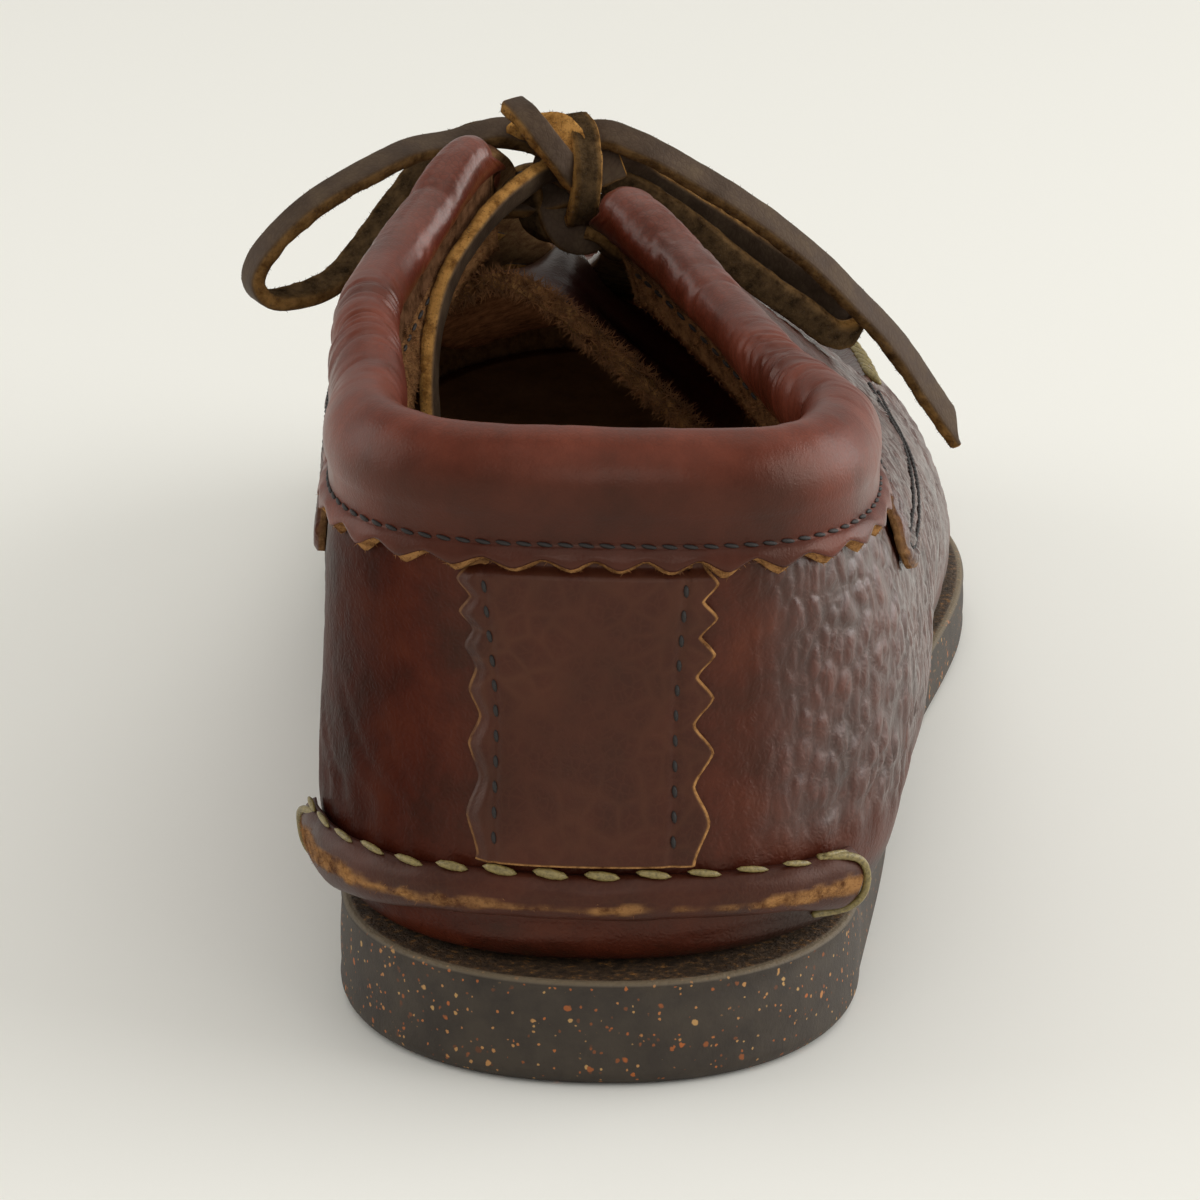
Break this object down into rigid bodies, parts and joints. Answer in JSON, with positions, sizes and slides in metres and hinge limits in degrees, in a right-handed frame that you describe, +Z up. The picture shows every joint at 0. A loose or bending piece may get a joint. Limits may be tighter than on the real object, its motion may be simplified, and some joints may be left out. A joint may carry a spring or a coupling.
{
  "type": "derby shoe",
  "caption": "Right low lace-up shoe, moccasin sewn, in red brown grain leather with a padded collar, leather laces and a flat cork rubber sole.",
  "frame": {"origin": "on the floor, under the middle of the shoe's length and width", "axes": "+Y from heel to toe, +X to the outer side of this right shoe, +Z up"},
  "size_m": [0.1041, 0.2941, 0.0982],
  "materials": {
    "cork_rubber": "matte, cork flecked",
    "grain_leather": "satin pebbled grain",
    "collar_leather": "satin smooth",
    "raw_edge_leather": "satin with raw edges",
    "lining_leather": "matte",
    "tongue_leather": "satin, raw edges",
    "lace_leather": "matte oiled"
  },
  "bodies": {
    "root": {"outsole": "cork_rubber", "upper": "grain_leather", "collar": "collar_leather", "eyestay_lateral": "grain_leather", "eyestay_medial": "grain_leather", "heel_panel": "grain_leather", "heel_seam": "raw_edge_leather", "insole": "lining_leather", "tongue": "tongue_leather", "lace_bar_top": "lace_leather", "lace_bar_middle": "lace_leather", "lace_bar_lower": "lace_leather", "lace_knot": "lace_leather", "lace_loop_medial": "lace_leather", "lace_loop_lateral": "lace_leather", "lace_end_lateral": "lace_leather", "lace_end_inside": "lace_leather"}
  },
  "joints": []
}
